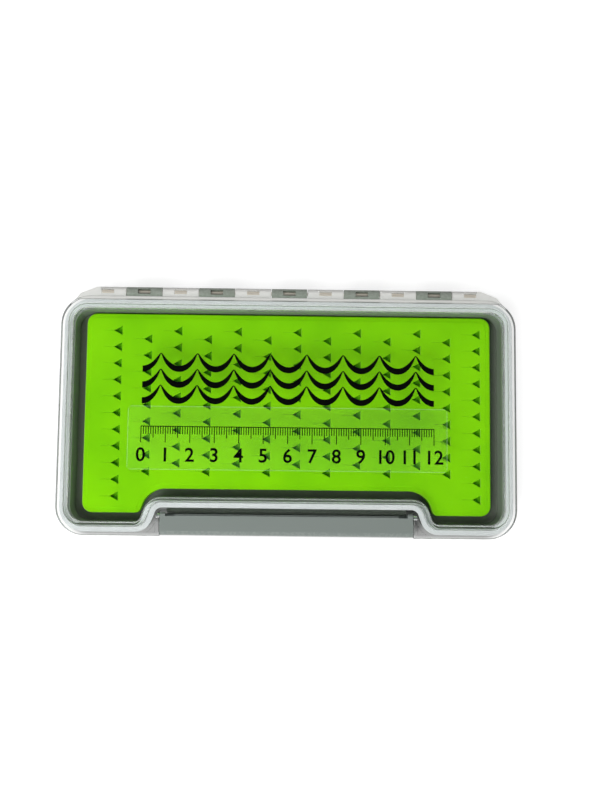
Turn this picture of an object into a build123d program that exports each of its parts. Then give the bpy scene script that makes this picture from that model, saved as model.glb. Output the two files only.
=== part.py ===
from build123d import *

import os
from math import floor, radians, tan

os.makedirs("parts", exist_ok=True)

# A slim jig box lying closed on its back: a grey tray with a slotted silicone pad glued to its floor,
# a clear lid with a raised window and a seal in its rim, and a lever latch in a recess of the front.
# Millimetres. X runs along the box, the hinge is at +Y, the latch at -Y, and Z = 0 is the underside.

# Case outline
case_length = 190.0
case_depth = 99.5  # front edge to rear wall, without the hinge
case_height = 18.0
base_height = 10.0  # the plane where lid and tray meet
corner_radius = 12.0

# Rims of tray and lid: both are a shell wall with a wider flange and a thin skirt around it. The lid's
# is the wider one, so that it hangs over the tray's all round.
rim_width = 3.6  # outer edge to the outer face of the shell wall
rim_overhang = 1.6
skirt_wall = 1.5
tray_skirt_wall = 1.0
flange_thickness = 1.6
lid_flange_height = 4.2  # top of the lid's flange above the meeting plane
tray_skirt_height = 3.5
shell_wall = 1.6
window_thickness = 1.6
window_edge_radius = 1.4
lid_inner_radius = 0.8
tray_wall = 1.8
tray_floor = 1.8
tray_bottom_radius = 3.0
tray_floor_radius = 0.8
tray_draft = 3.0  # degrees
rim_edge_radius = 0.5
seam_chamfer = 0.25

# Tongue and seal that make the closed case watertight. The seal fills the groove of the lid's rim and
# laps under its shell wall, and the tongue stands in a channel in the seal's underside.
tongue_height = 0.6
tongue_gap = 0.7  # tongue to the walls of the lid's groove
channel_gap = 0.15  # tongue to the walls of the seal's channel
seal_gap = 0.05
seal_lap = 1.2
seal_lap_thickness = 0.8

# Front recess with the latch and the two ears of the lid that carry it
recess_depth = 10.1
flank_angle = 70.0  # slope of the recess sides in plan, degrees
lobe_radius = 9.0
nook_radius = 1.5
ear_wall = 1.8
ear_margin = 0.2  # inner face of an ear to the corner of the recess
latch_length = 104.0
latch_end_gap = 0.3
latch_front_gap = 0.35
latch_drop = 0.3  # latch top below the flange top
latch_wall = 1.6
latch_corner_radius = 2.0
latch_rear_gap = 1.1
latch_height = 10.7
ledge_width = 0.6  # step along the rear edge of the latch's top, between the arms
ledge_depth = 0.9
arm_width = 2.1
arm_radius = 1.4
arm_gap = 0.3
trunnion_radius = 0.9
trunnion_length = 1.3
trunnion_gap = 0.07
trunnion_end_gap = 0.2
slot_width = 3.8  # relief slots beside the two arms, which let them spring into the ears
slot_depth = 0.8
slot_height = 5.0
hook_wall = 1.4
hook_height = 8.9
hook_bead = 0.2
bead_height = 1.0
rail_width = 0.8
rail_height = 1.2
rail_margin = 2.2  # end of the catch rail to the end of the latch
finger_lip = 1.0

# Hinge
knuckle_radius = 2.1
pin_radius = 0.8
tray_bore_gap = 0.03
lid_bore_gap = 0.08
hinge_gap = 0.3  # knuckles to the rear walls, and the webs to the meeting plane
knuckle_gap = 0.25
tray_knuckles = 5
tray_knuckle_length = 14.9
lid_knuckle_length = 15.1
end_knuckle_length = 12.0
end_window_inset = 4.4  # middle of an end knuckle's window to the end of the hinge
pin_window_length = 5.2
pin_window_width = 2.0
pin_end_recess = 0.5
gusset_length = 10.8
gusset_foot = 3.5  # its outer end in front of the rear edge
gusset_knee = 6.8  # corner of its sloping edge: past the end of the hinge
gusset_knee_rise = 1.4  # and behind the rear edge
gusset_bite = 1.5

# Pad
pad_side_gap = 1.9
pad_shift = 1.5  # towards the hinge
pad_end_gap = 3.6
pad_thickness = 4.0
pad_edge_radius = 0.5
glue_thickness = 0.2
glue_margin = 0.6
cut_length = 3.3
cut_width = 3.5
cut_depth = 2.6
cut_taper = 18.0  # degrees
slit_length = 4.4
slit_width = 0.15
cut_pitch_x = 12.6
cut_pitch_y = 7.0
cut_left_margin = 13.4
cut_right_margin = 6.0
cut_rear_margin = 7.2
cut_front_margin = 6.3

# Label
label_length = 131.0
label_width = 26.0
label_thickness = 0.12
label_radius = 1.5
label_offset = 9.7  # label centre in front of the middle of the case

# Places worked out from the sizes
overall_depth = case_depth + hinge_gap + 2 * knuckle_radius
y_front = -overall_depth / 2
y_rear = y_front + case_depth
y_middle = y_front + case_depth / 2
y_recess = y_front + recess_depth
hinge_y = y_rear + hinge_gap + knuckle_radius
hinge_z = base_height
notch_width = latch_length + 2 * latch_end_gap
recess_width = notch_width + 2 * ear_margin
flange_top = base_height + lid_flange_height
flange_under = flange_top - flange_thickness
lid_inset = rim_width + shell_wall
tray_inset = rim_width + tray_wall
tongue_outer = skirt_wall + tongue_gap
tongue_inner = rim_width - tongue_gap
wall_bottom = base_height + seal_lap_thickness + seal_gap
cavity_depth = base_height - tray_floor
floor_inset = tray_inset + cavity_depth * tan(radians(tray_draft))
glue_top = tray_floor + glue_thickness
pad_top = glue_top + pad_thickness
pad_inset = floor_inset + pad_side_gap
pad_end_inset = pad_end_gap - pad_side_gap
tray_skirt_bottom = base_height - tray_skirt_height
slack = 0.001  # for picking corners and faces by their place


def case_plan(inset, end_inset=0.0, shift=0.0):
    """The case's outline seen from above, moved inwards: a rounded rectangle with a recess in its front."""
    half_length = case_length / 2 - inset - end_inset
    corner_x = recess_width / 2 + inset * tan(radians(flank_angle / 2))
    foot_x = corner_x + recess_depth / tan(radians(flank_angle))
    front = y_front + inset + shift
    rear = y_rear - inset + shift
    recess = y_recess + inset + shift
    with BuildSketch() as plan:
        with BuildLine():
            Polyline(
                (-half_length, rear),
                (-half_length, front),
                (-foot_x, front),
                (-corner_x, recess),
                (corner_x, recess),
                (foot_x, front),
                (half_length, front),
                (half_length, rear),
                close=True,
            )
        make_face()
        fillet(plan.vertices().filter_by(lambda v: abs(v.X) > foot_x + inset), radius=corner_radius - inset)
        fillet(plan.vertices().filter_by(lambda v: abs(v.X) < corner_x + slack), radius=nook_radius + inset)
        fillet(plan.vertices().filter_by(lambda v: abs(abs(v.X) - foot_x) < slack), radius=lobe_radius - inset)
    return plan.sketch


def case_ring(outer_inset, inner_inset):
    """The band between two insets of the case's outline."""
    with BuildSketch() as ring:
        add(case_plan(outer_inset))
        add(case_plan(inner_inset), mode=Mode.SUBTRACT)
    return ring.sketch


# Knuckles take turns along the hinge, and the lid has the first and the last
knuckle_pitch = tray_knuckle_length + lid_knuckle_length + 2 * knuckle_gap
tray_knuckle_x = [(i - (tray_knuckles - 1) / 2) * knuckle_pitch for i in range(tray_knuckles)]
lid_knuckle_x = [x + knuckle_pitch / 2 for x in tray_knuckle_x[:-1]]
row_inner_half = tray_knuckle_x[-1] + tray_knuckle_length / 2 + knuckle_gap
hinge_half_length = row_inner_half + end_knuckle_length
end_knuckle_x = row_inner_half + end_knuckle_length / 2
lid_knuckles = [(x, lid_knuckle_length) for x in lid_knuckle_x]
lid_knuckles += [(-end_knuckle_x, end_knuckle_length), (end_knuckle_x, end_knuckle_length)]
end_window_x = hinge_half_length - end_window_inset
lid_window_x = [-end_window_x, *lid_knuckle_x, end_window_x]


def knuckle_section(x, side, web_front):
    """Section of a knuckle and of the web that joins it to its rim above (side 1) or below (side -1)."""
    web_height = knuckle_radius - hinge_gap
    web_middle = hinge_z + side * (hinge_gap + web_height / 2)
    with BuildSketch(Plane.YZ.offset(x)) as section:
        with Locations((hinge_y, hinge_z)):
            Circle(knuckle_radius)
        with Locations(((web_front + hinge_y) / 2, web_middle)):
            Rectangle(hinge_y - web_front, web_height)
    return section.sketch


def hinge_circle(x, radius):
    """A circle around the hinge axis, for a bore or the pin."""
    with BuildSketch(Plane.YZ.offset(x)) as circle:
        with Locations((hinge_y, hinge_z)):
            Circle(radius)
    return circle.sketch


def pin_windows(places):
    """The openings in the tops of the knuckles that show the pin."""
    with BuildSketch(Plane.XY.offset(hinge_z)) as windows:
        with Locations(*[(x, hinge_y) for x in places]):
            Rectangle(pin_window_length, pin_window_width)
    return windows.sketch


# Tray: floor and walls, a flange with a skirt, a tongue for the seal, a catch rail and five knuckles
with BuildPart() as base_tray:
    with BuildSketch():
        add(case_plan(rim_width))
    extrude(amount=base_height)
    fillet(base_tray.faces().sort_by(Axis.Z)[0].edges(), radius=tray_bottom_radius)
    with BuildSketch(Plane.XY.offset(tray_skirt_bottom)):
        add(case_plan(rim_overhang))
    extrude(amount=tray_skirt_height)
    with BuildSketch(Plane.XY.offset(tray_skirt_bottom)):
        add(case_ring(rim_overhang + tray_skirt_wall, rim_width))
    extrude(amount=tray_skirt_height - flange_thickness, mode=Mode.SUBTRACT)
    skirt_faces = base_tray.faces().filter_by(lambda f: abs(f.center().Z - tray_skirt_bottom) < slack)
    skirt_ring = skirt_faces.sort_by(SortBy.AREA)[-1]
    fillet(skirt_ring.outer_wire().edges(), radius=rim_edge_radius)
    chamfer(base_tray.faces().sort_by(Axis.Z)[-1].outer_wire().edges(), length=seam_chamfer)
    with BuildSketch(Plane.XY.offset(base_height)):
        add(case_plan(tray_inset))
    with BuildSketch(Plane.XY.offset(tray_floor)):
        add(case_plan(floor_inset))
    loft(ruled=True, mode=Mode.SUBTRACT)
    floor_faces = base_tray.faces().filter_by(lambda f: abs(f.center().Z - tray_floor) < slack)
    fillet(floor_faces.sort_by(SortBy.AREA)[-1].edges(), radius=tray_floor_radius)
    with BuildSketch(Plane.XY.offset(base_height)):
        add(case_ring(tongue_outer, tongue_inner))
    extrude(amount=tongue_height)
    with BuildSketch(Plane.XY.offset(tray_skirt_bottom)):
        with Locations((0, y_recess - rail_width)):
            rail_depth = rail_width + rim_overhang + tray_skirt_wall
            Rectangle(latch_length - 2 * rail_margin, rail_depth, align=(Align.CENTER, Align.MIN))
    extrude(amount=rail_height)
    for x in tray_knuckle_x:
        section = knuckle_section(x, -1, y_rear - rim_overhang - tray_skirt_wall)
        extrude(section, amount=tray_knuckle_length / 2, both=True)
        bore = hinge_circle(x, pin_radius + tray_bore_gap)
        extrude(bore, amount=tray_knuckle_length / 2, both=True, mode=Mode.SUBTRACT)
    extrude(pin_windows(tray_knuckle_x), amount=knuckle_radius, mode=Mode.SUBTRACT)
base_tray.part.label = "base_tray"
export_step(base_tray.part, "parts/base_tray.step")

# Hinge pin: one steel rod through all the knuckles
with BuildPart() as hinge_pin:
    extrude(hinge_circle(0, pin_radius), amount=hinge_half_length - pin_end_recess, both=True)
    chamfer(hinge_pin.edges().filter_by(GeomType.CIRCLE), length=pin_radius / 4)
hinge_pin.part.label = "hinge_pin"
export_step(hinge_pin.part, "parts/hinge_pin.step")

# Glue sheet between the tray's floor and the pad
with BuildPart() as pad_glue_sheet:
    with BuildSketch(Plane.XY.offset(tray_floor)):
        add(case_plan(pad_inset + glue_margin, pad_end_inset, pad_shift))
    extrude(amount=glue_thickness)
pad_glue_sheet.part.label = "pad_glue_sheet"
export_step(pad_glue_sheet.part, "parts/pad_glue_sheet.step")

# Pad: three-sided pockets with a slit at the tip, in columns that are staggered by half a row.
# The two end columns run down into the lobes beside the recess, the others stop at the recess.
pad_left = -(case_length / 2 - pad_inset - pad_end_inset)
pad_right = -pad_left
pad_rear = y_rear - pad_inset + pad_shift
column_run = pad_right - pad_left - cut_left_margin - cut_right_margin
columns = floor(column_run / cut_pitch_x) + 1
long_run = case_depth - 2 * pad_inset - cut_rear_margin - cut_front_margin
cut_places = []
for column in range(columns):
    x = pad_left + cut_left_margin + column * cut_pitch_x
    in_lobe = abs(x) > recess_width / 2 + recess_depth + cut_front_margin
    shift = cut_pitch_y / 2 if column % 2 else 0
    run = long_run - shift if in_lobe else long_run - recess_depth - shift
    rows = floor(run / cut_pitch_y) + 1
    cut_places += [(x, pad_rear - cut_rear_margin - shift - row * cut_pitch_y) for row in range(rows)]
with BuildPart() as slotted_pad:
    with BuildSketch(Plane.XY.offset(glue_top)):
        add(case_plan(pad_inset, pad_end_inset, pad_shift))
    extrude(amount=pad_thickness)
    fillet(slotted_pad.faces().sort_by(Axis.Z)[-1].edges(), radius=pad_edge_radius)
    with BuildSketch(Plane.XY.offset(pad_top)):
        with Locations(*cut_places):
            with BuildLine():
                Polyline(
                    (-cut_length / 2, 0),
                    (cut_length / 2, -cut_width / 2),
                    (cut_length / 2, cut_width / 2),
                    close=True,
                )
            make_face()
    extrude(amount=-cut_depth, taper=cut_taper, mode=Mode.SUBTRACT)
    with BuildSketch(Plane.XY.offset(pad_top)):
        with Locations(*[(x - cut_length / 2, y) for x, y in cut_places]):
            Rectangle(slit_length, slit_width, align=(Align.MAX, Align.CENTER))
    extrude(amount=-cut_depth, mode=Mode.SUBTRACT)
slotted_pad.part.label = "slotted_pad"
export_step(slotted_pad.part, "parts/slotted_pad.step")

# Lid: skirt and flange, raised window, groove for the seal, two ears for the latch, knuckles and gussets
pivot_y = y_recess - arm_gap - arm_radius
latch_top = flange_top - latch_drop
pivot_z = latch_top - arm_radius
with BuildPart() as lid:
    with BuildSketch(Plane.XY.offset(base_height)):
        with Locations((0, y_middle)):
            RectangleRounded(case_length, case_depth, corner_radius)
        with Locations((0, y_front)):
            Rectangle(notch_width, 2 * recess_depth, mode=Mode.SUBTRACT)
    extrude(amount=lid_flange_height)
    fillet(lid.faces().sort_by(Axis.Z)[-1].edges(), radius=rim_edge_radius)
    chamfer(lid.faces().sort_by(Axis.Z)[0].edges(), length=seam_chamfer)
    with BuildSketch(Plane.XY.offset(wall_bottom)):
        add(case_plan(rim_width))
    extrude(amount=case_height - wall_bottom)
    fillet(lid.faces().sort_by(Axis.Z)[-1].edges(), radius=window_edge_radius)
    with BuildSketch(Plane.XY.offset(base_height)):
        add(case_plan(lid_inset))
    extrude(amount=case_height - window_thickness - base_height, mode=Mode.SUBTRACT)
    window_under = case_height - window_thickness
    ceiling_faces = lid.faces().filter_by(lambda f: abs(f.center().Z - window_under) < slack)
    fillet(ceiling_faces.sort_by(SortBy.AREA)[-1].edges(), radius=lid_inner_radius)
    with BuildSketch(Plane.XY.offset(base_height)):
        add(case_ring(skirt_wall, rim_width))
    extrude(amount=lid_flange_height - flange_thickness, mode=Mode.SUBTRACT)
    with BuildSketch(Plane.XY.offset(base_height)):
        add(case_ring(rim_width, lid_inset))
    extrude(amount=wall_bottom - base_height, mode=Mode.SUBTRACT)
    pocket_rear = y_front + recess_depth
    with BuildSketch(Plane.XY.offset(base_height)):
        with Locations((0, (y_front + skirt_wall + pocket_rear) / 2)):
            Rectangle(recess_width + 4 * recess_depth, recess_depth - skirt_wall)
            Rectangle(notch_width + 2 * ear_wall, recess_depth, mode=Mode.SUBTRACT)
        add(case_plan(0), mode=Mode.SUBTRACT)
    extrude(amount=lid_flange_height - flange_thickness, mode=Mode.SUBTRACT)
    for x, length in lid_knuckles:
        extrude(knuckle_section(x, 1, y_rear - skirt_wall), amount=length / 2, both=True)
    gusset_rear = hinge_y + 0.8 * knuckle_radius
    for side in (-1, 1):
        with BuildSketch(Plane.XY.offset(hinge_z + hinge_gap)):
            with BuildLine():
                Polyline(
                    (side * (hinge_half_length - gusset_bite), y_rear - gusset_foot),
                    (side * (hinge_half_length - gusset_bite), gusset_rear),
                    (side * hinge_half_length, gusset_rear),
                    (side * (hinge_half_length + gusset_knee), y_rear + gusset_knee_rise),
                    (side * (hinge_half_length + gusset_length), y_rear - gusset_foot),
                    close=True,
                )
            make_face()
            add(case_plan(skirt_wall / 2), mode=Mode.SUBTRACT)
        extrude(amount=knuckle_radius - hinge_gap)
    bore = hinge_circle(0, pin_radius + lid_bore_gap)
    extrude(bore, amount=hinge_half_length, both=True, mode=Mode.SUBTRACT)
    extrude(pin_windows(lid_window_x), amount=knuckle_radius, mode=Mode.SUBTRACT)
    with BuildSketch(Plane.YZ):
        with Locations((pivot_y, pivot_z)):
            Circle(trunnion_radius + trunnion_gap)
    extrude(amount=notch_width / 2 + trunnion_length + trunnion_end_gap, both=True, mode=Mode.SUBTRACT)
lid.part.label = "lid"
export_step(lid.part, "parts/lid.step")

# Seal: a milky silicone ring in the lid's groove, with a flat lap under the shell wall
with BuildPart() as lid_seal:
    with BuildSketch(Plane.XY.offset(base_height)):
        add(case_ring(skirt_wall + seal_gap, rim_width - seal_gap))
    extrude(amount=flange_under - base_height)
    with BuildSketch(Plane.XY.offset(base_height)):
        add(case_ring(skirt_wall + seal_gap, rim_width + seal_lap))
    extrude(amount=seal_lap_thickness)
    with BuildSketch(Plane.XY.offset(base_height)):
        add(case_ring(tongue_outer - channel_gap, tongue_inner + channel_gap))
    extrude(amount=tongue_height, mode=Mode.SUBTRACT)
lid_seal.part.label = "lid_seal"
export_step(lid_seal.part, "parts/lid_seal.step")

# Label: clear film on the window
with BuildPart() as label_film:
    with BuildSketch(Plane.XY.offset(case_height)):
        with Locations((0, y_middle - label_offset)):
            RectangleRounded(label_length, label_width, label_radius)
    extrude(amount=label_thickness)
label_film.part.label = "label_film"
export_step(label_film.part, "parts/label_film.step")

# Latch: a channel with closed ends that turns on two trunnions in the lid's ears. Its hook wall hangs
# in front of the tray's rail, and the front wall ends in a lip for the fingers.
latch_front = y_front + latch_front_gap
latch_rear = y_recess - latch_rear_gap
latch_bottom = latch_top - latch_height
hook_bottom = latch_top - hook_height
half_latch = latch_length / 2
with BuildPart() as latch:
    with BuildSketch(Plane.YZ) as end_profile:
        with BuildLine():
            Polyline(
                (latch_rear, latch_top),
                (latch_front, latch_top),
                (latch_front, latch_bottom),
                (latch_front + latch_wall + finger_lip, latch_bottom),
                (latch_rear - hook_wall, hook_bottom),
                (latch_rear, hook_bottom),
                close=True,
            )
        make_face()
        top_front = end_profile.vertices().group_by(Axis.Y)[-1].sort_by(Axis.X)[0]
        fillet(top_front, radius=latch_corner_radius)
    extrude(amount=half_latch, both=True)
    with BuildSketch(Plane.YZ) as channel:
        with BuildLine():
            Polyline(
                (latch_front + latch_wall, latch_top - latch_wall),
                (latch_rear - hook_wall, latch_top - latch_wall),
                (latch_rear - hook_wall, latch_bottom),
                (latch_front + latch_wall + finger_lip, latch_bottom),
                (latch_front + latch_wall + finger_lip, latch_bottom + latch_wall / 2),
                (latch_front + latch_wall, latch_bottom + latch_wall),
                close=True,
            )
        make_face()
    extrude(amount=half_latch - arm_width, both=True, mode=Mode.SUBTRACT)
    with BuildSketch(Plane.XY.offset(latch_top)):
        with Locations((0, latch_rear)):
            Rectangle(latch_length - 2 * arm_width, 2 * ledge_width)
    extrude(amount=-ledge_depth, mode=Mode.SUBTRACT)
    with BuildSketch(Plane.YZ):
        with Locations((latch_rear, hook_bottom + bead_height / 2)):
            Ellipse(hook_bead, bead_height / 2)
    extrude(amount=half_latch - rail_margin, both=True)
    for side in (-1, 1):
        slot_middle = side * (half_latch - arm_width - slot_width / 2)
        with BuildSketch(Plane.XY.offset(latch_top)):
            with Locations((slot_middle, latch_rear)):
                Rectangle(slot_width, 2 * slot_depth)
        extrude(amount=-slot_height, mode=Mode.SUBTRACT)
        with BuildSketch(Plane.YZ.offset(side * (half_latch - arm_width / 2))):
            with Locations((pivot_y, pivot_z)):
                Circle(arm_radius)
        extrude(amount=arm_width / 2, both=True)
        with BuildSketch(Plane.YZ.offset(side * half_latch)):
            with Locations((pivot_y, pivot_z)):
                Circle(trunnion_radius)
        extrude(amount=side * (latch_end_gap + trunnion_length))
latch.part.label = "latch"
export_step(latch.part, "parts/latch.step")
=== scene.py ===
from math import cos, hypot, pi, radians, sin, tan

import bmesh
import bpy
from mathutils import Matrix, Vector


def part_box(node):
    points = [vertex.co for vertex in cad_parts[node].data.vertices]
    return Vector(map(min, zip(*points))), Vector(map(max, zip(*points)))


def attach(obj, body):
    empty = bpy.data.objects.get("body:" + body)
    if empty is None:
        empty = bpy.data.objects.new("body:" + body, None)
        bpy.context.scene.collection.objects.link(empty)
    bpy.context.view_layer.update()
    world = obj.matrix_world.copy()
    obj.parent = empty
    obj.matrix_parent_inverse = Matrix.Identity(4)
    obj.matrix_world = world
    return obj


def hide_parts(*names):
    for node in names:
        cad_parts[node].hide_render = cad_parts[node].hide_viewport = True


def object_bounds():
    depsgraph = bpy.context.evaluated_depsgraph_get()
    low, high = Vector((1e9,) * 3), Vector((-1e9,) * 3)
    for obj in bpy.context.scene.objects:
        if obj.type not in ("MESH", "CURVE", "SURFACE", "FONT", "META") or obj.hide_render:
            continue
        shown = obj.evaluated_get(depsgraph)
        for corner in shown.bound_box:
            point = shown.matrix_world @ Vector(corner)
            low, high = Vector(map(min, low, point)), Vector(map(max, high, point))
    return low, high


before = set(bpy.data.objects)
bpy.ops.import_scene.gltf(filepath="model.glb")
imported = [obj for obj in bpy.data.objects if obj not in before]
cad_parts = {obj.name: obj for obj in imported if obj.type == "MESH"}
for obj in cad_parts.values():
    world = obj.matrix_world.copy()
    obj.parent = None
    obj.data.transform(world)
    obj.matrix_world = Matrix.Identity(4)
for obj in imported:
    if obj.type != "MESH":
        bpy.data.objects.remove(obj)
cad_low, cad_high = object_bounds()
mm = 0.001

# Camera. It stands about 43 cm above the lying box, a little in front of its middle, and looks almost
# straight down, turned so that the box leans by less than a degree in the picture.
camera_place = (0.04 * mm, -33.93 * mm, 426.87 * mm)
camera_turn = (0.0929, -0.0129, 0.0113)  # radians
lens_length = 44.97  # millimetres, as is the next
picture_side = 36
nearest_seen = 10 * mm
bpy.ops.object.camera_add(location=camera_place, rotation=camera_turn)
camera = bpy.context.object
camera.data.lens = lens_length
camera.data.sensor_width = picture_side
camera.data.clip_start = nearest_seen
bpy.context.scene.camera = camera
bpy.context.scene.view_settings.view_transform = "Standard"


# Floor and light of the studio. The floor is a board that the camera sees white, apart from the box's
# shadow. Under the case and in a thin band round it, its white glow is left out, a painted shade. The
# key lamp stands at the front left, where shiny things see the brightest side of the room, and the
# ceiling that the lid mirrors is dark.
floor_size = 6.0
floor_colour = (0.55, 0.55, 0.55, 1)
floor_roughness = 0.9
floor_lift = 0.73  # light that only the camera and clear or shiny things see
clear_share = 0.75  # how much of it is seen through clear plastic
case_middle = (0, -2.25 * mm, 0)  # the case without its hinge, which covers the floor
case_half = (95 * mm, 49.75 * mm)
case_corner = 12 * mm
lift_begins = -1.0 * mm  # from the case's edge, inwards
lift_full = 1.3 * mm  # and outwards
room_light = 0.15  # on dull things, from all round
wall_light = 0.02  # and what the walls add, low around the box
window_side = (-0.8, -0.45, 0.0)
window_edge = (-0.2, 0.5)  # cosines where the window's side begins and is whole
window_light = 0.05  # this and the next two are what shiny things mirror
far_side_light = 0.015
ceiling_light = 0.0015
ceiling_edge = (0.25, 0.75)  # sines of the heights where the ceiling begins and is whole
backdrop_light = 1.0  # white, where the camera looks past the floor
# Name, place, width, watts, and if the clear lid mirrors it. The key lamp would cover the print.
lamps = [
    ("key_lamp", (-0.28, -0.38, 0.56), 0.45, 4.4, False),
    ("fill_lamp", (0.60, -0.20, 0.50), 0.40, 0.5, True),
    ("back_lamp", (-0.06, 0.62, 0.50), 0.80, 1.3, True),
]


class Wire:
    """An output in a node tree. Sums on wires add Math nodes, and make() adds any other node."""

    def __init__(self, tree, output=None):
        self.tree = tree
        self.output = output

    def make(self, kind, sockets, settings=None, output=0):
        node = self.tree.nodes.new("ShaderNode" + kind)
        for name, value in (settings or {}).items():
            setattr(node, name, value)
        for name, value in sockets.items():
            if isinstance(value, Wire):
                self.tree.links.new(value.output, node.inputs[name])
            else:
                node.inputs[name].default_value = value
        return Wire(self.tree, node.outputs[output])

    def sum(self, operation, *values):
        return self.make("Math", dict(enumerate(values)), {"operation": operation})

    def __add__(self, other):
        return self.sum("ADD", self, other)

    def __sub__(self, other):
        return self.sum("SUBTRACT", self, other)

    def __rsub__(self, other):
        return self.sum("SUBTRACT", other, self)

    def __mul__(self, other):
        return self.sum("MULTIPLY", self, other)

    __radd__ = __add__
    __rmul__ = __mul__

    def steps(self, low, high):
        """0 below low, 1 above high, and a smooth rise between."""
        rise = {"Value": self, "From Min": low, "From Max": high}
        return self.make("MapRange", rise, {"interpolation_type": "SMOOTHSTEP"})

    def blend(self, first, second):
        """The first colour where this wire is 0, the second where it is 1."""
        factor, a, b = 0, 6, 7
        sockets = {factor: self, a: first, b: second}
        return self.make("Mix", sockets, {"data_type": "RGBA"}, output=2)

    def feed(self, node, socket):
        self.tree.links.new(self.output, node.inputs[socket])


def rays(path):
    """Where light is seen by the camera, in shiny things, and through clear ones."""
    kinds = ("Is Camera Ray", "Is Glossy Ray", "Is Transmission Ray")
    return [path.make("LightPath", {}, output=kind) for kind in kinds]


bpy.ops.mesh.primitive_plane_add(size=floor_size, location=(0, 0, cad_low.z))
floor = bpy.context.object
floor.name = "floor"
floor_paint = bpy.data.materials.new("white_board")
floor_paint.use_nodes = True
board = floor_paint.node_tree.nodes["Principled BSDF"]
board.inputs["Base Color"].default_value = floor_colour
board.inputs["Roughness"].default_value = floor_roughness
board.inputs["Emission Color"].default_value = (1, 1, 1, 1)
path = Wire(floor_paint.node_tree)
seen, mirrored, through = rays(path)
place = path.make("TexCoord", {}, output="Object")
away = path.make("VectorMath", {0: place, 1: case_middle}, {"operation": "SUBTRACT"})
away = path.make("VectorMath", {0: away}, {"operation": "ABSOLUTE"})
inner_corner = (case_half[0] - case_corner, case_half[1] - case_corner, 1)
away = path.make("VectorMath", {0: away, 1: inner_corner}, {"operation": "SUBTRACT"})
away = path.make("VectorMath", {0: away, 1: (0, 0, 0)}, {"operation": "MAXIMUM"})
beyond = path.make("VectorMath", {0: away}, {"operation": "LENGTH"}, output="Value") - case_corner
# painted shade: the floor's glow is left out under the case and fades in over a thin band outside it, a
# painted contact shadow
lift = beyond.steps(lift_begins, lift_full) * floor_lift
shown = path.sum("MAXIMUM", seen, path.sum("MAXIMUM", mirrored, through * clear_share))
(shown * lift).feed(board, "Emission Strength")
floor.data.materials.append(floor_paint)

world = bpy.data.worlds.new("studio")
bpy.context.scene.world = world
world.use_nodes = True
background = world.node_tree.nodes["Background"]
background.inputs["Color"].default_value = (1, 1, 1, 1)
path = Wire(world.node_tree)
seen, mirrored, through = rays(path)
direction = path.make("TexCoord", {}, output="Generated")
height = path.make("SeparateXYZ", {"Vector": direction}, output="Z")
overhead = height.steps(*ceiling_edge)
sides = {0: direction, 1: window_side}
to_window = path.make("VectorMath", sides, {"operation": "DOT_PRODUCT"}, output="Value")
room_view = far_side_light + to_window.steps(*window_edge) * (window_light - far_side_light)
shiny_view = room_view + overhead * (ceiling_light - room_view)
soft_view = room_light + wall_light * (1 - overhead)
shiny = path.sum("MAXIMUM", mirrored, through)
strength = soft_view + shiny * (shiny_view - soft_view)
(strength + seen * (backdrop_light - strength)).feed(background, "Strength")

for name, place, width, power, shown in lamps:
    bpy.ops.object.light_add(type="AREA", location=place)
    lamp = bpy.context.object
    lamp.name = name
    lamp.data.size = width
    lamp.data.energy = power
    lamp.visible_glossy = shown
    lamp.visible_transmission = shown
    lamp.rotation_euler = Vector(place).to_track_quat("Z", "Y").to_euler()


# Tray. One grey moulding with a fine grain and a slight shine, a little paler at its edges, as where
# hands and tables rub them. Its floor around the pad is darkened by painted shade. The latch's plastic
# is made alike.
tray_grey = (0.270, 0.305, 0.258, 1)
tray_pale = (0.380, 0.410, 0.370, 1)
# painted shade, mixed into the colour of low plastic that faces up
tray_shade = (0.030, 0.026, 0.018, 1)
shade_levels = (3.2 * mm, 4.5 * mm)  # whole below the first, gone above the second
shade_slopes = (0.1, 0.6)  # only where the plastic faces up
shade_share = 0.5
cloud_scale = 45.0
scuff_scale = 900.0
grain_scale = 5200.0
least_rough = 0.30
scuff_rough = 0.16
worn_edges = (0.52, 0.60)  # pointiness where wear begins and is whole
worn_patches = (0.42, 0.62)
grain_depth = 0.02 * mm


def principled(name, **values):
    """A material, its Principled shader with these values, and a wire to build on."""
    material = bpy.data.materials.new(name)
    material.use_nodes = True
    shader = material.node_tree.nodes["Principled BSDF"]
    for socket, value in values.items():
        shader.inputs[socket.replace("_", " ")].default_value = value
    return material, shader, Wire(material.node_tree)


def grey_plastic(name, grey, pale):
    """Moulded plastic: cloudy grey, worn pale on edges, grain of the mould, painted shade on low floors.
    """
    material, shader, start = principled(name)
    place = start.make("TexCoord", {}, output="Object")
    cloud = start.make("TexNoise", {"Vector": place, "Scale": cloud_scale, "Detail": 3.0}, output="Fac")
    grain = start.make("TexNoise", {"Vector": place, "Scale": grain_scale, "Detail": 2.0}, output="Fac")
    scuffs = start.make("TexNoise", {"Vector": place, "Scale": scuff_scale, "Detail": 4.0}, output="Fac")
    edges = start.make("NewGeometry", {}, output="Pointiness").steps(*worn_edges)
    wear = edges * scuffs.steps(*worn_patches)
    height = start.make("SeparateXYZ", {"Vector": place}, output="Z")
    facing = start.make("NewGeometry", {}, output="Normal")
    upward = start.make("SeparateXYZ", {"Vector": facing}, output="Z")
    # painted shade: plastic low down that faces up is mixed half-way to near black
    painted_floor_shade = (1 - height.steps(*shade_levels)) * upward.steps(*shade_slopes)
    colour = (cloud * 0.16 + wear * 0.5 - 0.05).blend(grey, pale)
    (painted_floor_shade * shade_share).blend(colour, tray_shade).feed(shader, "Base Color")
    (least_rough + scuffs * scuff_rough).feed(shader, "Roughness")
    bump = {"Height": grain, "Strength": 0.12, "Distance": grain_depth}
    start.make("Bump", bump, output="Normal").feed(shader, "Normal")
    return material


def dress(node, material):
    """Gives a CAD node its finish."""
    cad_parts[node].material_slots[0].material = material


dress("base_tray", grey_plastic("tray_plastic", tray_grey, tray_pale))
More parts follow.
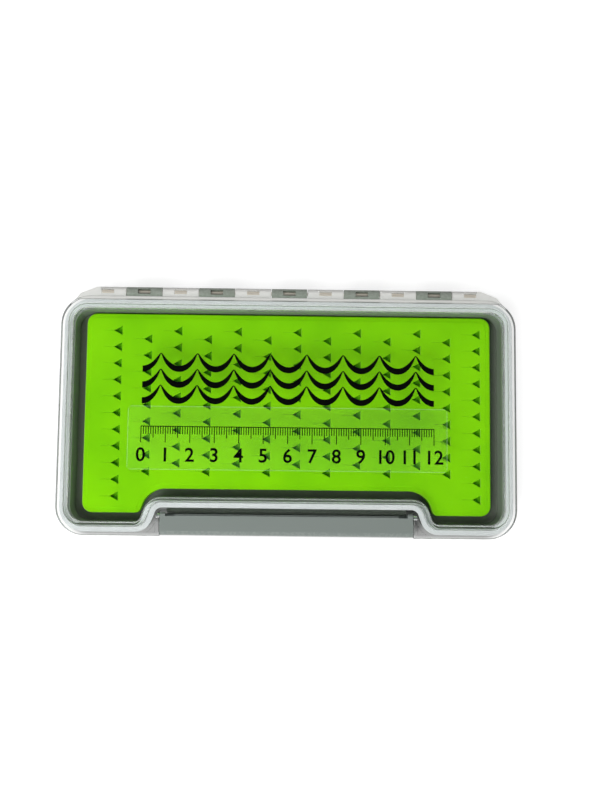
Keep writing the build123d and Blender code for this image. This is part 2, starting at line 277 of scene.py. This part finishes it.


# Hinge pin. A steel rod pushed through all eleven knuckles, and seen in their windows. Its warm, half
# metallic grey is chosen, and so are the fine lines along it, as on drawn wire.
steel = (0.82, 0.75, 0.66, 1)
line_scale = (60, 4000, 4000)
pin_metal, shader, start = principled("drawn_steel", Metallic=0.4, Base_Color=steel)
place = start.make("TexCoord", {}, output="Object")
along = start.make("Mapping", {"Vector": place, "Scale": line_scale})
draw_lines = start.make("TexNoise", {"Vector": along, "Scale": 1.0, "Detail": 3.0}, output="Fac")
(0.32 + draw_lines * 0.25).feed(shader, "Roughness")
dress("hinge_pin", pin_metal)


# Glue sheet. Milky double-sided film that holds the pad down on the tray's floor. It ends a little
# inside the pad's edge, so it can hardly be seen.
glue_grey = (0.55, 0.55, 0.50, 1)
glue_white = (0.66, 0.66, 0.62, 1)
glue_film, shader, start = principled("glue_film", Roughness=0.5)
place = start.make("TexCoord", {}, output="Object")
streaks = start.make("TexNoise", {"Vector": place, "Scale": 300.0}, output="Fac")
streaks.blend(glue_grey, glue_white).feed(shader, "Base Color")
dress("pad_glue_sheet", glue_film)


# Pad. One sheet of lime green silicone with a round edge and a soft lip on every cut. Each cut is a
# three-sided pocket with a slit at its tip, which grips the bend of a jig's hook. The sheet stands
# clear of the walls, glued by its underside.
pad_low, pad_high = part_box("slotted_pad")
pad_recess = 10.1 * mm  # depth of the bay that clears the latch
bay_half = 57.91 * mm
bay_slope = radians(70)
pad_corner = 4.27 * mm
bay_corner = 9.23 * mm
lobe_corner = 2.4 * mm
pad_round = 0.6 * mm
round_steps = 4
border_width = 1.2 * mm  # the border lies a little lower than the rest of the top
border_slope = 0.2 * mm
border_drop = 0.15 * mm
border_end = 0.2 * mm
corner_steps = 8
pad_middle = (pad_low + pad_high) / 2
bay_line = pad_low.y + pad_recess
bay_foot = bay_half + pad_recess / tan(bay_slope)
near = 0.01 * mm  # slack for picking by place


def start_edit(piece):
    """Selects a piece alone and opens it in edit mode."""
    bpy.ops.object.select_all(action="DESELECT")
    piece.select_set(True)
    bpy.context.view_layer.objects.active = piece
    bpy.ops.object.mode_set(mode="EDIT")


def pick(piece, kind, test):
    """In edit mode, selects the vertices, edges or faces whose corners all pass a test of place."""
    bpy.ops.mesh.select_mode(type=kind)
    shape = bmesh.from_edit_mesh(piece.data)
    parts = {"VERT": shape.verts, "EDGE": shape.edges, "FACE": shape.faces}[kind]
    for part in parts:
        corners = [part] if kind == "VERT" else part.verts
        part.select_set(all(test(corner.co) for corner in corners))
    shape.select_flush_mode()
    bmesh.update_edit_mesh(piece.data)


def cut(point, normal):
    """Splits the selected faces along a plane, and removes nothing."""
    bpy.ops.mesh.bisect(plane_co=point, plane_no=normal, threshold=near / 10)


bpy.ops.object.select_all(action="DESELECT")
bpy.ops.mesh.primitive_plane_add(size=1, location=(pad_middle.x, pad_middle.y, pad_low.z))
pad = bpy.context.object
pad.name = "silicone_pad"
pad.scale = (pad_high.x - pad_low.x, pad_high.y - pad_low.y, 1)
bpy.ops.object.transform_apply(location=True, rotation=True, scale=True)
start_edit(pad)
bpy.ops.mesh.select_all(action="SELECT")
cut((0, bay_line, 0), (0, 1, 0))
for side in (-1, 1):
    pick(pad, "FACE", lambda co: co.y < bay_line + near)
    cut((side * bay_half, bay_line, 0), (side * sin(bay_slope), cos(bay_slope), 0))
pick(pad, "FACE", lambda co: co.y < bay_line + near and abs(co.x) < bay_foot + near)
bpy.ops.mesh.delete(type="FACE")
bpy.ops.mesh.select_all(action="SELECT")
bpy.ops.mesh.dissolve_limited(angle_limit=radians(1))
front_line = pad_low.y + near
rounds = [
    (pad_corner, pi / 4, lambda co: abs(co.x) > bay_foot + pad_corner),
    (bay_corner, bay_slope / 2, lambda co: abs(abs(co.x) - bay_half) < near and co.y > front_line),
    (lobe_corner, bay_slope / 2, lambda co: abs(abs(co.x) - bay_foot) < near and co.y < front_line),
]
for radius, half_turn, test in rounds:
    pick(pad, "VERT", test)
    bpy.ops.mesh.bevel(offset=radius * tan(half_turn), segments=corner_steps, affect="VERTICES")
bpy.ops.mesh.select_mode(type="FACE")
bpy.ops.mesh.select_all(action="SELECT")
rise = pad_high.z - pad_low.z - pad_round - border_drop
bpy.ops.mesh.extrude_region_move(TRANSFORM_OT_translate={"value": (0, 0, rise)})
for step in range(round_steps):
    start_angle = step / round_steps * pi / 2
    end_angle = (step + 1) / round_steps * pi / 2
    inward = pad_round * (cos(start_angle) - cos(end_angle))
    upward = pad_round * (sin(end_angle) - sin(start_angle))
    bpy.ops.mesh.inset(thickness=inward, depth=upward, use_even_offset=True)
bpy.ops.mesh.inset(thickness=border_width, depth=0, use_even_offset=True)
bpy.ops.mesh.inset(thickness=border_slope, depth=border_drop, use_even_offset=True)
bpy.ops.mesh.inset(thickness=border_end, depth=0, use_even_offset=True)
bpy.ops.mesh.delete(type="ONLY_FACE")
bpy.ops.object.mode_set(mode="OBJECT")

# One pocket of the pad, on its own small patch of the top
cut_length = 3.5 * mm
cut_half = 1.95 * mm
cut_depth = 2.6 * mm
floor_share = 0.75  # size of a pocket's floor to its mouth
floor_drift = 0.10 * mm  # the floor lies nearer the tip
slit_length = 4.4 * mm
slit_half = 0.018 * mm
slit_shallow = 0.6 * mm  # depth at the slit's end
floor_climb = 0.4 * mm  # the pocket's floor rises from the tip to the base
lip = 0.12 * mm
lip_steps = 3
patch_margin = 0.6 * mm
pitch_x = 12.66 * mm
pitch_y = 7.0 * mm
first_column = 13.25 * mm  # from the pad's left edge
first_row = 7.2 * mm  # from its rear edge
columns = 13
rows = 9
lobe_rows = 11
tip = -cut_length / 2
base = cut_length / 2
flank_slope = (cut_half - slit_half) / cut_length
flank_stretch = hypot(1, flank_slope)
mouth_left = tip - slit_length - lip
mouth_right = base + lip
fork = tip + lip * (1 - flank_stretch) / flank_slope  # where the slit's lip meets the pocket's
patch_left = mouth_left - patch_margin
patch_right = mouth_right + patch_margin
patch_half = cut_half + lip + patch_margin

bpy.ops.object.select_all(action="DESELECT")
bpy.ops.mesh.primitive_plane_add(size=1, location=((patch_left + patch_right) / 2, 0, 0))
pocket = bpy.context.object
pocket.scale = (patch_right - patch_left, 2 * patch_half, 1)
bpy.ops.object.transform_apply(location=True, rotation=True, scale=True)
start_edit(pocket)
for x in (mouth_left, fork, mouth_right):
    bpy.ops.mesh.select_all(action="SELECT")
    cut((x, 0, 0), (1, 0, 0))
for side in (-1, 1):
    pick(pocket, "FACE", lambda co: fork - near < co.x < mouth_right + near)
    cut((tip, side * (slit_half + lip * flank_stretch), 0), (-flank_slope, side, 0))
    pick(pocket, "FACE", lambda co: mouth_left - near < co.x < fork + near)
    cut((tip, side * (slit_half + lip), 0), (0, 1, 0))


def in_mouth(co):
    """True in the outline of the cut at the top, with its lip."""
    half = slit_half + max(lip, (co.x - tip) * flank_slope + lip * flank_stretch)
    return mouth_left - near < co.x < mouth_right + near and abs(co.y) < half + near


pick(pocket, "FACE", in_mouth)
for step in range(lip_steps):
    start_angle = step / lip_steps * pi / 2
    end_angle = (step + 1) / lip_steps * pi / 2
    inward = lip * (sin(end_angle) - sin(start_angle))
    downward = lip * (cos(start_angle) - cos(end_angle))
    bpy.ops.mesh.inset(thickness=inward, depth=-downward, use_even_offset=True)
bpy.ops.mesh.extrude_region_move(TRANSFORM_OT_translate={"value": (0, 0, lip - cut_depth)})
pick(pocket, "VERT", lambda co: co.z < -near - lip and co.x > tip - lip)
bpy.ops.transform.resize(value=(floor_share, floor_share, 1), center_override=(-floor_drift, 0, 0))
pick(pocket, "VERT", lambda co: co.z < -near - lip and co.x > 0)
bpy.ops.transform.translate(value=(0, 0, floor_climb))
pick(pocket, "VERT", lambda co: co.z < -near - lip and co.x < tip - lip)
bpy.ops.transform.translate(value=(0, 0, cut_depth - slit_shallow))
bpy.ops.object.mode_set(mode="OBJECT")
in_cut = pocket.data.attributes.new("in_cut", "FLOAT", "FACE")  # marks the walls and floor of the cut
for face in pocket.data.polygons:
    in_cut.data[face.index].value = face.center.z < -lip and face.center.x > tip - lip

# All the pockets, set in staggered columns and sewn into the top of the pad
cuts = []
for column in range(columns):
    x = pad_low.x + first_column + column * pitch_x
    shift = pitch_y / 2 if column % 2 else 0
    for row in range(lobe_rows if column in (0, columns - 1) else rows):
        copy = pocket.copy()
        copy.data = pocket.data.copy()
        copy.location = (x, pad_high.y - first_row - shift - row * pitch_y, pad_high.z)
        bpy.context.collection.objects.link(copy)
        cuts.append(copy)
bpy.data.objects.remove(pocket)
bpy.ops.object.select_all(action="DESELECT")
for copy in cuts:
    copy.select_set(True)
pad.select_set(True)
bpy.context.view_layer.objects.active = pad
bpy.ops.object.join()
start_edit(pad)
bpy.ops.mesh.select_mode(type="EDGE")
bpy.ops.mesh.select_all(action="DESELECT")
bpy.ops.mesh.select_non_manifold(
    use_wire=False,
    use_multi_face=False,
    use_non_contiguous=False,
    use_verts=False,
)
bpy.ops.mesh.fill(use_beauty=True)
bpy.ops.mesh.select_all(action="SELECT")
bpy.ops.mesh.normals_make_consistent(inside=False)
bpy.ops.object.mode_set(mode="OBJECT")
bpy.ops.object.shade_smooth_by_angle(angle=radians(40))
flatten = pad.modifiers.new("flat_faces_stay_flat", "WEIGHTED_NORMAL")
flatten.keep_sharp = True
bpy.ops.object.modifier_apply(modifier=flatten.name)

lime = (0.325, 0.930, 0.002, 1)
lime_deep = (0.250, 0.790, 0.002, 1)
lime_lip_highlight = (0.480, 0.980, 0.080, 1)
lime_shade = (0.110, 0.420, 0.002, 1)
cut_shade_share = 0.66
lip_slopes = (0.02, 0.25)
lip_levels = (0.3 * mm, 0.7 * mm)  # below the top
satin_depth = 0.02 * mm
light_depth = 0.6 * mm  # how far light soaks into the silicone
silicone, shader, start = principled("lime_silicone", Roughness=0.55, Specular_IOR_Level=0.2)
place = start.make("TexCoord", {}, output="Object")
cloud = start.make("TexNoise", {"Vector": place, "Scale": 30.0, "Detail": 3.0}, output="Fac")
below_top = pad_high.z - start.make("SeparateXYZ", {"Vector": place}, output="Z")
facing = start.make("NewGeometry", {}, output="Normal")
tilt = 1 - start.make("SeparateXYZ", {"Vector": facing}, output="Z")
# painted highlight: the pad's round edge and the lips of the cuts are painted lighter, most where they
# face left, towards the key lamp
toward_key_lamp = 0 - start.make("SeparateXYZ", {"Vector": facing}, output="X")
lip_highlight_mask = tilt.steps(*lip_slopes) * (1 - below_top.steps(*lip_levels))
colour = cloud.steps(0.3, 0.8).blend(lime, lime_deep)
# painted shade: the walls and floor of each cut are mixed two thirds towards dark green
pocket_shade_mask = start.make("Attribute", {}, {"attribute_name": "in_cut"}, output="Fac")
colour = (pocket_shade_mask * cut_shade_share).blend(colour, lime_shade)
(lip_highlight_mask * (0.2 + toward_key_lamp.steps(0.05, 0.4) * 0.8)).blend(colour, lime_lip_highlight).feed(shader, "Base Color")
satin = start.make("TexNoise", {"Vector": place, "Scale": 2500.0, "Detail": 2.0}, output="Fac")
bump = {"Height": satin, "Strength": 0.10, "Distance": satin_depth}
start.make("Bump", bump, output="Normal").feed(shader, "Normal")
shader.inputs["Subsurface Weight"].default_value = 0.10
shader.inputs["Subsurface Scale"].default_value = light_depth
shader.inputs["Subsurface Radius"].default_value = (0.5, 1.0, 0.1)
pad.data.materials.append(silicone)
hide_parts("slotted_pad")
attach(pad, "tray")


# Lid. One clear moulding, taken to be polycarbonate, with a faint haze, and milky along the hinge.
# Shadow rays and diffuse rays pass its walls, so lamps light what is under it.
clear = (0.985, 0.992, 0.988, 1)
open_way_tint = (0.965, 0.975, 0.970, 1)
frost_white = (0.88, 0.88, 0.85, 1)
frost_share = 0.8
frost_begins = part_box("lid")[1].y - 6.0 * mm
frost_whole = frost_begins + 0.4 * mm
polycarbonate, shader, start = principled(
    "clear_polycarbonate",
    Base_Color=clear,
    Transmission_Weight=1.0,
    IOR=1.58,
)
output = polycarbonate.node_tree.nodes["Material Output"]
frost = start.tree.nodes.new("ShaderNodeBsdfPrincipled")
frost.inputs["Base Color"].default_value = frost_white
frost.inputs["Roughness"].default_value = 0.4
place = start.make("TexCoord", {}, output="Object")
rearward = start.make("SeparateXYZ", {"Vector": place}, output="Y")
in_hinge = rearward.steps(frost_begins, frost_whole)
haze = start.make("TexNoise", {"Vector": place, "Scale": 60.0, "Detail": 4.0}, output="Fac")
(0.01 + haze.steps(0.4, 0.8) * 0.05).feed(shader, "Roughness")
shadow = start.make("LightPath", {}, output="Is Shadow Ray")
soft_light = start.make("LightPath", {}, output="Is Diffuse Ray")
open_way = start.make("BsdfTransparent", {"Color": open_way_tint})
glass = Wire(start.tree, shader.outputs[0])
milky = Wire(start.tree, frost.outputs[0])
glass = start.make("MixShader", {0: in_hinge * frost_share, 1: glass, 2: milky})
lets_by = shadow.sum("MAXIMUM", shadow, soft_light)
start.make("MixShader", {0: lets_by, 1: glass, 2: open_way}).feed(output, "Surface")
dress("lid", polycarbonate)


# Seal. A milky silicone ring pressed into the groove of the lid's rim, where the tray's tongue bears
# on it. It is seen through the clear plastic.
seal_grey = (0.84, 0.87, 0.87, 1)
seal_white = (0.93, 0.96, 0.97, 1)
seal_silicone, shader, start = principled("milky_silicone", Roughness=0.35)
place = start.make("TexCoord", {}, output="Object")
cloud = start.make("TexNoise", {"Vector": place, "Scale": 120.0, "Detail": 3.0}, output="Fac")
cloud.blend(seal_grey, seal_white).feed(shader, "Base Color")
dress("lid_seal", seal_silicone)


# Label. Clear film stuck on the window to carry the rule. It can hardly be seen, but its cut edge
# catches the light as a thin pale line.
film_tint = (0.9, 0.92, 0.92, 1)
film_alpha = 0.006
edge_alpha = 0.09
film_low, film_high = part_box("label_film")
film_middle = (film_low + film_high) / 2
film_half = (film_high - film_low) / 2
edge_line = 0.3 * mm
film, shader, start = principled("clear_film", Roughness=0.2, Base_Color=film_tint)
place = start.make("TexCoord", {}, output="Object")
away = start.make("VectorMath", {0: place, 1: tuple(film_middle)}, {"operation": "SUBTRACT"})
away = start.make("VectorMath", {0: away}, {"operation": "ABSOLUTE"})
from_end = film_half.x - start.make("SeparateXYZ", {0: away}, output="X")
from_side = film_half.y - start.make("SeparateXYZ", {0: away}, output="Y")
rim_line = 1 - from_end.sum("MINIMUM", from_end, from_side).steps(edge_line * 0.5, edge_line)
(film_alpha + rim_line * edge_alpha).feed(shader, "Alpha")
dress("label_film", film)


# Latch. A lever moulded in grey plastic like the tray's, a little bluer. It turns in the ears of the
# lid on trunnions that are moulded with it.
latch_grey = (0.250, 0.286, 0.266, 1)
latch_pale = (0.345, 0.377, 0.360, 1)
dress("latch", grey_plastic("latch_plastic", latch_grey, latch_pale))


# Print. Black ink on the label and the window: a plain rule in centimetres, and above it a band of
# running waves. The ink is a film a few hundredths of a millimetre thick.
ink_black = (0.002, 0.0025, 0.002, 1)
ink_speck = (0.008, 0.009, 0.008, 1)
ink_thickness = 0.03 * mm
ink, shader, start = principled("black_ink", Roughness=0.6, Specular_IOR_Level=0.08)
place = start.make("TexCoord", {}, output="Object")
specks = start.make("TexNoise", {"Vector": place, "Scale": 1500.0, "Detail": 2.0}, output="Fac")
specks.steps(0.6, 0.75).blend(ink_black, ink_speck).feed(shader, "Base Color")

centimetre = 10 * mm
rule_length = 12 * centimetre
rule_left = -rule_length / 2
rule_line = film_middle.y + 4.5 * mm
tick_width = 0.36 * mm
ticks = {"millimetre": 3.0 * mm, "half": 4.5 * mm, "centimetre": 6.5 * mm}
number_size = 8.0 * mm
number_weight = 0.12 * mm
number_gap = 1.2 * mm


def flat_ink(points, level, name):
    """A closed outline of ink lying on a level."""
    drawing = bpy.data.curves.new(name, "CURVE")
    drawing.dimensions = "2D"
    drawing.fill_mode = "BOTH"
    drawing.extrude = ink_thickness / 2
    line = drawing.splines.new("POLY")
    line.points.add(len(points) - 1)
    for point, (x, y) in zip(line.points, points):
        point.co = (x, y, 0, 1)
    line.use_cyclic_u = True
    piece = bpy.data.objects.new(name, drawing)
    piece.location.z = level + ink_thickness / 2
    bpy.context.collection.objects.link(piece)
    return piece


def box_outline(x, y, width, depth):
    """A bar's corners, from the middle of its rear edge."""
    left = x - width / 2
    right = x + width / 2
    return [(left, y), (right, y), (right, y - depth), (left, y - depth)]


def one_piece(parts, name):
    """Joins flat curves and texts into one mesh in place."""
    bpy.ops.object.select_all(action="DESELECT")
    for part in parts:
        part.select_set(True)
    bpy.context.view_layer.objects.active = parts[0]
    bpy.ops.object.convert(target="MESH")
    bpy.ops.object.join()
    piece = bpy.context.object
    piece.name = name
    bpy.ops.object.transform_apply(location=True, rotation=True, scale=True)
    piece.data.materials.clear()
    piece.data.materials.append(ink)
    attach(piece, "lid")


base_line = box_outline(0, rule_line + tick_width, rule_length + tick_width, tick_width)
rule = [flat_ink(base_line, film_high.z, "base_line")]
for millimetre in range(round(rule_length / mm) + 1):
    kind = "centimetre" if millimetre % 10 == 0 else "half" if millimetre % 5 == 0 else "millimetre"
    outline = box_outline(rule_left + millimetre * mm, rule_line, tick_width, ticks[kind])
    rule.append(flat_ink(outline, film_high.z, "tick"))
number_line = rule_line - ticks["centimetre"] - number_gap
number_level = film_high.z + ink_thickness / 2
for number in range(round(rule_length / centimetre) + 1):
    place = (rule_left + number * centimetre, number_line, number_level)
    bpy.ops.object.text_add(location=place)
    text = bpy.context.object
    text.data.body = str(number)
    text.data.size = number_size
    text.data.offset = number_weight
    text.data.align_x = "CENTER"
    text.data.align_y = "TOP"
    text.data.extrude = ink_thickness / 2
    text.data.resolution_u = 4
    rule.append(text)
one_piece(rule, "printed_rule")

wave_length = 15 * mm
wave_height = 3.2 * mm  # from the middle of a wave to its crest
wave_crest = 0.50  # how far the crests are pinched
wave_width = 2.5 * mm  # in the troughs
crest_share = 0.16  # of that width at the crests
wave_spacing = 6.6 * mm
wave_lines = 3
waves_middle = 13.05 * mm
waves_across = 8
wave_points = 40  # along each wave


def wave_outline(middle):
    """A ribbon along waves with pinched crests, heavy in the troughs, as water is drawn with a brush."""
    left, right = [], []
    for i in range(waves_across * wave_points + 1):
        turn = 2 * pi * i / wave_points
        x = (i / wave_points - waves_across / 2) * wave_length + wave_crest * wave_height * sin(turn)
        y = middle - wave_height * cos(turn)
        run = wave_length / (2 * pi) + wave_crest * wave_height * cos(turn)
        climb = wave_height * sin(turn)
        share = crest_share + (1 - crest_share) * (1 + cos(turn)) / 2
        scale = share * wave_width / 2 / hypot(run, climb)
        left.append((x - climb * scale, y + run * scale))
        right.append((x + climb * scale, y - run * scale))
    return left + right[::-1]


window_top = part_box("lid")[1].z
waves = []
for line in range(wave_lines):
    middle = waves_middle + (line - (wave_lines - 1) / 2) * wave_spacing
    waves.append(flat_ink(wave_outline(middle), window_top, "wave"))
one_piece(waves, "printed_waves")
